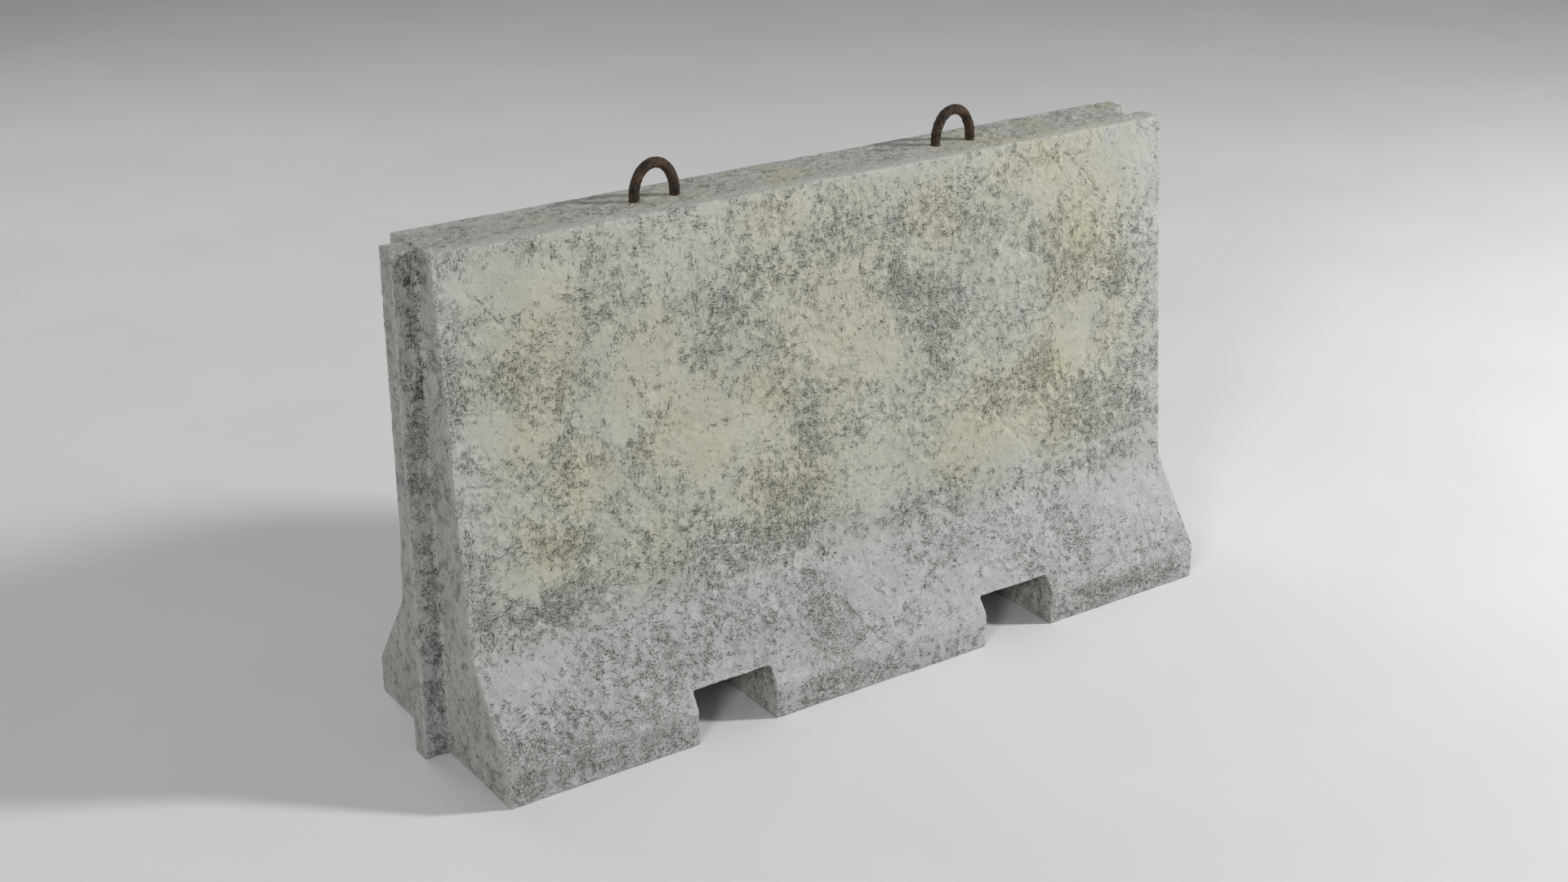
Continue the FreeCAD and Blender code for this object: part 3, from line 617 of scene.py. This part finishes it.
def concrete_material():
    m = Nodes("weathered_concrete_and_painted_light")
    line, dense, ochre, soot_and_shade, grime_and_shade, wear_and_highlight, toe = (m.attr(k) for k in ("line", "dense", "ochre", "soot_and_shade", "grime_and_shade", "wear_and_highlight", "toe"))
    lean = m.attr("lean")
    # the strokes wander a little
    bend = m.new("ShaderNodeTexNoise")
    m.join(m.coord, bend.inputs["Vector"])
    bend.inputs["Scale"].default_value = 42.0
    bend.inputs["Detail"].default_value = 3.0
    shift = m.vector("SUBTRACT", bend.outputs["Color"], (0.5, 0.5, 0.5))
    place = m.vector("MULTIPLY_ADD", shift, (0.0011, 0.0011, 0.0011), m.coord)
    up = m.noise(m.scaled(335, 335, 84, source=place), 1.0, 2.0, 0.58)
    level = m.noise(m.scaled(80, 335, 335, source=place), 1.0, 2.0, 0.58)
    rise = m.noise(m.scaled(120, 315, 320, source=m.turned(38, place)), 1.0, 2.0, 0.58)
    fall = m.noise(m.scaled(110, 315, 320, source=m.turned(-46, place)), 1.0, 2.0, 0.58)
    dots = m.noise(place, 400.0, 2.0, 0.6)
    sand = m.noise(m.coord, 900.0, 2.0, 0.6)
    cloud = m.noise(m.coord, 7.0, 5.0, 0.6, 0.4)
    blotch = m.noise(m.coord, 24.0, 5.0, 0.62, 0.3)
    ragged = m.noise(place, 58.0, 3.0, 0.58)
    drift = m.noise(m.coord, 11.0, 3.0, 0.5)
    soft = m.noise(m.coord, 48.0, 2.0, 0.5)
    # families of strokes take turns over the face
    level_share = m.math("SUBTRACT", m.ramp(drift, 0.40, 0.60, -0.050, 0.015), m.math("MULTIPLY", lean, 0.07))
    up_share = m.math("SUBTRACT", m.ramp(drift, 0.36, 0.58, 0.020, -0.040), m.math("MULTIPLY", lean, 0.05))
    field = m.math("MAXIMUM", m.math("ADD", up, up_share), m.math("ADD", level, level_share))
    slant = m.math("MAXIMUM", m.math("ADD", rise, m.ramp(cloud, 0.54, 0.66, -0.13, 0.010)), m.math("ADD", fall, m.ramp(lean, 0.1, 0.8, -0.11, 0.015)))
    field = m.math("MAXIMUM", field, slant)
    field = m.math("ADD", field, m.math("MULTIPLY", m.math("SUBTRACT", dots, 0.5), 0.66))
    # torn flakes of the skin, as ledges with a sharp side and a long back
    flake = m.noise(m.scaled(27, 27, 21, source=place), 1.0, 5.0, 0.55)
    level_no = m.math("MULTIPLY", flake, 9.0)
    part = m.math("FRACT", level_no)
    ledge = m.math("SUBTRACT", m.ramp(part, 0.0, 0.24), part)
    # the low ground at the foot of each ledge, which gets painted shade below
    foot = m.ramp(part, 0.72, 0.97)
    # where the strokes crowd
    crowd = m.math("ADD", dense, m.math("MULTIPLY", m.math("SUBTRACT", ragged, 0.5), 2.2))
    crowd = m.math("ADD", crowd, m.math("MULTIPLY", m.math("SUBTRACT", blotch, 0.5), 1.2))
    # the line and recess masks carry painted shade and make the strokes crowd there
    crowd = m.math("ADD", crowd, m.math("ADD", m.math("MULTIPLY", line, 0.8), m.math("MULTIPLY", grime_and_shade, 0.55)))
    crowd = m.math("ADD", crowd, m.math("MULTIPLY", m.math("SUBTRACT", part, 0.5), 0.22))
    packed = m.ramp(crowd, -0.06, 0.92)
    cut = m.ramp(packed, 0.0, 1.0, 0.760, 0.582, "LINEAR")
    over = m.math("SUBTRACT", field, cut)
    mark = m.ramp(over, 0.0, 0.022)
    core = m.ramp(over, 0.014, 0.075)
    faint = m.ramp(over, -0.075, 0.010)
    # colour
    base = m.mix(m.ramp(cloud, 0.36, 0.66), (0.415, 0.415, 0.380), (0.475, 0.475, 0.440))
    cool = m.math("MULTIPLY", m.ramp(blotch, 0.50, 0.66), m.ramp(drift, 0.48, 0.62))
    base = m.mix(m.math("MULTIPLY", cool, 0.75), base, (0.400, 0.405, 0.430))
    yellow = m.mix(m.ramp(blotch, 0.35, 0.65), (0.440, 0.425, 0.288), (0.510, 0.495, 0.355))
    tint = m.math("MULTIPLY", ochre, m.ramp(cloud, 0.30, 0.62, 0.75, 1.1), clamp=True)
    col = m.mix(tint, base, yellow)
    pale = m.mix(m.ramp(blotch, 0.40, 0.62), (0.395, 0.395, 0.395), (0.475, 0.475, 0.475))
    col = m.mix(m.math("MULTIPLY", toe, 0.90), col, pale)
    # stains darken the colour, and painted shade on the faces turned along the length comes in the same way
    shade = m.math("MULTIPLY", soot_and_shade, m.ramp(blotch, 0.30, 0.68, 0.35, 0.9))
    col = m.mix(m.math("MULTIPLY", shade, 0.30), col, (0.200, 0.202, 0.196))
    halo = m.ramp(crowd, 0.30, 1.15)
    col = m.mix(m.math("MULTIPLY", halo, 0.25), col, (0.190, 0.184, 0.142))
    col = m.mix(m.math("MULTIPLY", faint, m.ramp(packed, 0.1, 0.9, 0.04, 0.24)), col, (0.150, 0.148, 0.126))
    # painted shade along the foot of each ledge, stronger where the strokes crowd
    col = m.mix(m.math("MULTIPLY", m.math("MULTIPLY", foot, m.ramp(crowd, 0.0, 0.9, 0.1, 1.0)), 0.26), col, (0.13, 0.128, 0.110))
    col = m.mix(m.math("MULTIPLY", mark, 0.52), col, (0.125, 0.121, 0.100))
    col = m.mix(m.math("MULTIPLY", core, 0.74), col, (0.052, 0.050, 0.041))
    col = m.mix(m.math("MULTIPLY", m.ramp(sand, 0.34, 0.70), 0.16), col, (0.25, 0.248, 0.24))
    # paler chipped edges, plus a painted highlight along the arrises and the top face's front strip
    col = m.mix(m.math("MULTIPLY", wear_and_highlight, m.ramp(ragged, 0.42, 0.58, 0.10, 0.60)), col, (0.56, 0.56, 0.55))
    # black smears, plus the painted shade of the recesses and pockets
    smear_and_shade = m.math("ADD", m.math("MULTIPLY", grime_and_shade, 0.62), m.math("MULTIPLY", m.math("SUBTRACT", m.math("ADD", m.math("MULTIPLY", ragged, 1.3), m.math("MULTIPLY", field, 0.9)), 1.2), 1.9))
    smear_and_shade = m.ramp(smear_and_shade, 0.42, 0.80)
    col = m.mix(m.math("MULTIPLY", smear_and_shade, 0.80), col, (0.045, 0.044, 0.042))
    m.join(col, m.shader.inputs["Base Color"])
    m.join(m.ramp(m.math("ADD", blotch, m.math("MULTIPLY", grime_and_shade, 0.2)), 0.30, 0.75, 0.78, 0.96, "LINEAR"), m.shader.inputs["Roughness"])
    m.shader.inputs["Specular IOR Level"].default_value = 0.32
    # relief too fine for the mesh, in millimetres
    h = m.math("MULTIPLY", m.math("MULTIPLY", ledge, m.ramp(cloud, 0.36, 0.58, 0.9, 2.4)), m.ramp(crowd, 0.05, 0.80, 0.16, 1.0))
    h = m.math("SUBTRACT", h, m.math("MULTIPLY", mark, 1.35))
    h = m.math("SUBTRACT", h, m.math("MULTIPLY", faint, 0.35))
    h = m.math("ADD", h, m.math("MULTIPLY", soft, 2.6))
    h = m.math("ADD", h, m.math("MULTIPLY", sand, 0.15))
    m.join(m.bump(h, 0.0013, 1.0), m.shader.inputs["Normal"])
    return m.mat


def rust_material(name, dark=(0.026, 0.017, 0.012), brown=(0.085, 0.042, 0.022), orange=(0.21, 0.082, 0.028), amount=1.0, scale=1.0, pitted=(0.42, 0.56)):
    m = Nodes(name)
    patch = m.noise(m.coord, 38.0 * scale, 5.0, 0.62, 0.6)
    scab = m.noise(m.coord, 150.0 * scale, 4.0, 0.65, 0.4)
    dust = m.noise(m.coord, 520.0 * scale, 3.0, 0.6)
    holes = m.voronoi(m.coord, 210.0 * scale)
    col = m.mix(m.ramp(patch, 0.36, 0.60), dark, brown)
    col = m.mix(m.math("MULTIPLY", m.ramp(scab, 0.50, 0.66), 0.85 * amount), col, orange)
    grey = m.math("MULTIPLY", m.ramp(patch, 0.56, 0.70), m.ramp(dust, 0.40, 0.62))
    col = m.mix(m.math("MULTIPLY", grey, 0.45), col, (0.135, 0.115, 0.10))
    hole = m.math("MULTIPLY", m.ramp(holes, 0.38, 0.14), m.ramp(scab, pitted[0], pitted[1]))
    col = m.mix(m.math("MULTIPLY", hole, 0.92), col, (0.010, 0.008, 0.007))
    m.join(col, m.shader.inputs["Base Color"])
    m.join(m.ramp(scab, 0.35, 0.65, 0.68, 0.94, "LINEAR"), m.shader.inputs["Roughness"])
    m.shader.inputs["Specular IOR Level"].default_value = 0.28
    h = m.math("ADD", m.math("MULTIPLY", scab, 0.8), m.math("MULTIPLY", dust, 0.3))
    h = m.math("SUBTRACT", h, m.math("MULTIPLY", hole, 0.8))
    m.join(m.bump(h, 0.0012, 1.0), m.shader.inputs["Normal"])
    return m.mat


def plastic_material():
    m = Nodes("spacer_plastic_looks")
    swirl = m.noise(m.coord, 60.0, 3.0, 0.5, 1.2)
    grain = m.noise(m.coord, 700.0, 2.0, 0.5)
    col = m.mix(m.ramp(swirl, 0.35, 0.65), (0.20, 0.205, 0.21), (0.29, 0.295, 0.30))
    col = m.mix(m.math("MULTIPLY", m.ramp(grain, 0.55, 0.75), 0.4), col, (0.42, 0.41, 0.39))
    m.join(col, m.shader.inputs["Base Color"])
    m.join(m.ramp(grain, 0.3, 0.7, 0.45, 0.70, "LINEAR"), m.shader.inputs["Roughness"])
    m.join(m.bump(grain, 0.0003, 0.5), m.shader.inputs["Normal"])
    return m.mat


# ---- the casting's visual mesh ------------------------------------------------------------------
verts, faces = surface_net(CELL)
for _ in range(3):
    g = gradient(verts)
    d = casting(verts[:, 0], verts[:, 1], verts[:, 2])
    verts = verts - g * (d / np.maximum((g * g).sum(1), 0.2))[:, None]
soft = gradient(verts, 0.010, 0.0015)
soft /= np.maximum(np.linalg.norm(soft, axis=1), 1e-6)[:, None]
relief, masks = weathering_and_painted_light(verts, soft)
centre = verts[faces].mean(1)
normal = soft[faces].mean(1)
chart = atlas(centre, normal)
uv = np.zeros((len(faces), 4, 2))
for c, (a, b, ou, ov) in PLACES.items():
    pick = chart == c
    corners = verts[faces[pick]]
    uv[pick, :, 0] = (corners[:, :, a] + ou + 0.01) / ATLAS
    uv[pick, :, 1] = (corners[:, :, b] + ov + 0.01) / ATLAS
shaped = verts + soft * relief[:, None]
low, high = cad_box[0], (H)
shaped[:, 0] = np.clip(shaped[:, 0], X0 - TONGUE, X1)
shaped[:, 1] = np.clip(shaped[:, 1], -HB, HB)
shaped[:, 2] = np.clip(shaped[:, 2], 0.0, H)
concrete = mesh_object("cast_concrete", shaped, faces, masks, uv.reshape(-1, 2))
concrete.data.materials.append(concrete_material())
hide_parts("concrete_body")
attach(concrete, ROOT)


# ---- lifting loops --------------------------------------------------------------------------------
def arc(cx, cz, r, a0, a1, step):
    n = max(2, int(abs(a1 - a0) * r / step))
    t = np.linspace(a0, a1, n + 1)
    return np.stack([cx + r * np.cos(t), cz + r * np.sin(t)], 1)


def run(p, q, step):
    n = max(1, int(math.hypot(q[0] - p[0], q[1] - p[1]) / step))
    t = np.linspace(0, 1, n + 1)[:, None]
    return np.array(p) * (1 - t) + np.array(q) * t


def loop_path(fine, coarse):
    """The right half of the loop in (x, z) from the crown down, in metres from its centre line."""
    a, spring, crown_r, rise_all = 0.0435, H + 0.008, 0.036, 0.0575
    tail_z, hook_r, tail = 0.540, 0.042, 0.120
    rise = rise_all - crown_r
    side_r = (crown_r ** 2 - a ** 2 - rise ** 2) / (2 * (crown_r - a))
    side_cx = a - side_r
    join = math.atan2(rise, -side_cx)
    pieces = [arc(0.0, spring + rise, crown_r, math.pi / 2, join, fine), arc(side_cx, spring, side_r, join, 0.0, fine),
              run((a, spring), (a, H - 0.02), fine), run((a, H - 0.02), (a, tail_z + hook_r), coarse),
              arc(a + hook_r, tail_z + hook_r, hook_r, math.pi, 1.5 * math.pi, coarse * 0.6),
              run((a + hook_r, tail_z), (a + hook_r + tail, tail_z), coarse)]
    half = [pieces[0]] + [q[1:] for q in pieces[1:]]
    half = np.concatenate(half)
    other = half[1:] * np.array([-1, 1])
    return np.concatenate([other[::-1], half])


def tube(name, path, radius, around, relief=None, planar_y=0.0, masks=None):
    """A tube along a path in the x-z plane, with capped ends. relief(points, normals) gives metres along the normal."""
    t = np.gradient(path, axis=0)
    t /= np.linalg.norm(t, axis=1)[:, None]
    side = np.stack([-t[:, 1], np.zeros(len(t)), t[:, 0]], 1)
    across = np.array([0.0, 1.0, 0.0])
    ang = np.linspace(0, 2 * math.pi, around, endpoint=False)
    centre = np.stack([path[:, 0], np.full(len(path), planar_y), path[:, 1]], 1)
    nrm = side[:, None, :] * np.cos(ang)[None, :, None] + across[None, None, :] * np.sin(ang)[None, :, None]
    pts = centre[:, None, :] + nrm * radius
    flat_p, flat_n = pts.reshape(-1, 3), nrm.reshape(-1, 3)
    if relief is not None:
        flat_p = flat_p + flat_n * relief(flat_p, flat_n)[:, None]
    n = len(path)
    i, j = np.meshgrid(np.arange(n - 1), np.arange(around), indexing="ij")
    k = (j + 1) % around
    q = np.stack([i * around + j, i * around + k, (i + 1) * around + k, (i + 1) * around + j], -1).reshape(-1, 4)
    s = np.concatenate([[0], np.cumsum(np.linalg.norm(np.diff(path, axis=0), axis=1))])
    uu = np.stack([j, j + 1, j + 1, j], -1) / around * 0.96 + 0.01
    vv = np.stack([s[i], s[i], s[i + 1], s[i + 1]], -1) / s[-1] * 0.94 + 0.01
    uv = np.stack([uu, vv], -1).reshape(-1, 4, 2)
    caps, cap_uv, verts = [], [], [flat_p]
    for end in (0, n - 1):
        c = len(flat_p) + len(caps and [0] or [])
        verts.append(centre[end][None])
        ring = end * around + np.arange(around)
        nxt = end * around + (np.arange(around) + 1) % around
        centre_id = len(flat_p) + (0 if end == 0 else 1)
        tri = np.stack([np.full(around, centre_id), nxt, ring], 1) if end == 0 else np.stack([np.full(around, centre_id), ring, nxt], 1)
        caps.append(tri)
        mid = np.array([0.25 + (0.5 if end else 0), 0.98])
        r0 = np.stack([np.cos(ang), np.sin(ang)], 1) * 0.012
        r1 = np.roll(r0, -1, axis=0)
        z0 = np.zeros_like(r0)
        cap_uv.append(np.stack([z0, r1, r0] if end == 0 else [z0, r0, r1], 1) + mid)
    me = bpy.data.meshes.new(name)
    allv = np.concatenate(verts)
    tris = np.concatenate(caps)
    loops = np.concatenate([q.ravel(), tris.ravel()]).astype(np.int32)
    starts = np.concatenate([np.arange(0, q.size, 4), q.size + np.arange(0, tris.size, 3)]).astype(np.int32)
    me.vertices.add(len(allv))
    me.vertices.foreach_set("co", allv.astype(np.float32).ravel())
    me.loops.add(len(loops))
    me.loops.foreach_set("vertex_index", loops)
    me.polygons.add(len(starts))
    me.polygons.foreach_set("loop_start", starts)
    me.update(calc_edges=True)
    me.polygons.foreach_set("use_smooth", np.ones(len(starts), bool))
    layer = me.uv_layers.new(name="OFBake")
    layer.uv.foreach_set("vector", np.concatenate([uv.reshape(-1, 2), np.concatenate(cap_uv).reshape(-1, 2)]).astype(np.float32).ravel())
    me.validate()
    ob = bpy.data.objects.new(name, me)
    bpy.context.scene.collection.objects.link(ob)
    return ob


def corroded(seed):
    def relief(p, n):
        ring = np.arctan2(n[:, 1], np.hypot(n[:, 0], n[:, 2])) * 0.0105
        along = np.arctan2(p[:, 2] - H, p[:, 0] - round(float(np.mean(p[:, 0])), 3)) * 0.05 + p[:, 2]
        a, b = p[:, 0] + p[:, 1] * 0.8, p[:, 2] + p[:, 1] * 0.9
        lumps = fbm(a / 0.014, b / 0.014, seed, 3)
        scabs = smooth(0.05, 0.35, fbm(a / 0.0065 + 3.1, b / 0.0075, seed + 7, 2))
        eaten = smooth(0.12, 0.45, fbm(a / 0.010 + 9.7, b / 0.010, seed + 13, 2))
        return (-0.00060 + 0.00060 * lumps + 0.0007 * scabs - 0.0014 * eaten).clip(-0.0022, -0.00005)
    return relief


rust = rust_material("loop_rust", (0.016, 0.013, 0.011), (0.066, 0.042, 0.027), (0.125, 0.068, 0.034), 0.75, 1.7, (0.30, 0.46))
fine = 0.0014
half_path = loop_path(fine, 0.008)
for name, cx in (("left", LOOPS[0]), ("right", LOOPS[1])):
    path = half_path + np.array([cx, 0.0])
    piece = tube("rusty_loop_" + name, path, 0.0105, 44, corroded(200 if name == "left" else 260))
    piece.data.materials.append(rust)
    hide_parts("lifting_loop_" + name)
    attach(piece, ROOT)

# ---- the cage keeps its CAD shapes and gets real surfaces ------------------------------------------
bar_rust = rust_material("rebar_scale", (0.045, 0.038, 0.036), (0.115, 0.070, 0.046), (0.25, 0.115, 0.05), 0.7, 1.3)
plastic = plastic_material()
for name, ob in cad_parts.items():
    if name == "concrete_body" or name.startswith("lifting_loop"):
        continue
    mat = plastic if name.startswith("cover_spacers") else bar_rust
    if not ob.material_slots:
        ob.data.materials.append(mat)
    for slot in ob.material_slots:
        slot.material = mat

# ---- stage ----------------------------------------------------------------------------------------
me = bpy.data.meshes.new("studio_floor")
s = 40.0
me.from_pydata([(-s, -s, 0), (s, -s, 0), (s, s, 0), (-s, s, 0)], [], [(0, 1, 2, 3)])
floor = bpy.data.objects.new("studio_floor", me)
bpy.context.scene.collection.objects.link(floor)
fm = Nodes("studio_floor")
fn = fm.noise(fm.coord, 1.3, 3.0, 0.5)
fm.join(fm.mix(fm.ramp(fn, 0.3, 0.7), (0.74, 0.74, 0.74), (0.77, 0.77, 0.77)), fm.shader.inputs["Base Color"])
fm.shader.inputs["Roughness"].default_value = 0.9
floor.data.materials.append(fm.mat)

world = bpy.data.worlds.new("studio")
bpy.context.scene.world = world
world.use_nodes = True
world.node_tree.nodes["Background"].inputs["Color"].default_value = (0.97, 0.98, 1.0, 1.0)
world.node_tree.nodes["Background"].inputs["Strength"].default_value = 0.24


def lamp(name, at, to, size, power, color=(1, 1, 1)):
    data = bpy.data.lights.new(name, "AREA")
    data.shape, data.size, data.energy, data.color = "DISK", size, power, color
    ob = bpy.data.objects.new(name, data)
    ob.location = at
    from mathutils import Vector
    ob.rotation_euler = (Vector(to) - Vector(at)).to_track_quat("-Z", "Y").to_euler()
    bpy.context.scene.collection.objects.link(ob)
    return ob


lamp("key", (5.4, -3.3, 3.7), (0.0, 0.0, 0.45), 0.8, 410, (1.0, 0.99, 0.975))
lamp("fill", (-5.2, -4.0, 3.2), (0.0, 0.0, 0.5), 1.6, 156)
lamp("back", (-1.0, 5.0, 4.0), (0.0, 0.0, 0.6), 3.0, 60)

camera = bpy.data.cameras.new("camera")
camera.lens, camera.sensor_width, camera.clip_end = 50.0, 36.0, 200.0
cam = bpy.data.objects.new("camera", camera)
cam.location = (-2.3222, -3.3243, 2.1307)
cam.rotation_euler = (math.radians(90 - 22.68), 0.0, math.radians(-34.51))
bpy.context.scene.collection.objects.link(cam)
bpy.context.scene.camera = cam
bpy.context.scene.view_settings.view_transform = "Standard"

bpy.context.view_layer.update()
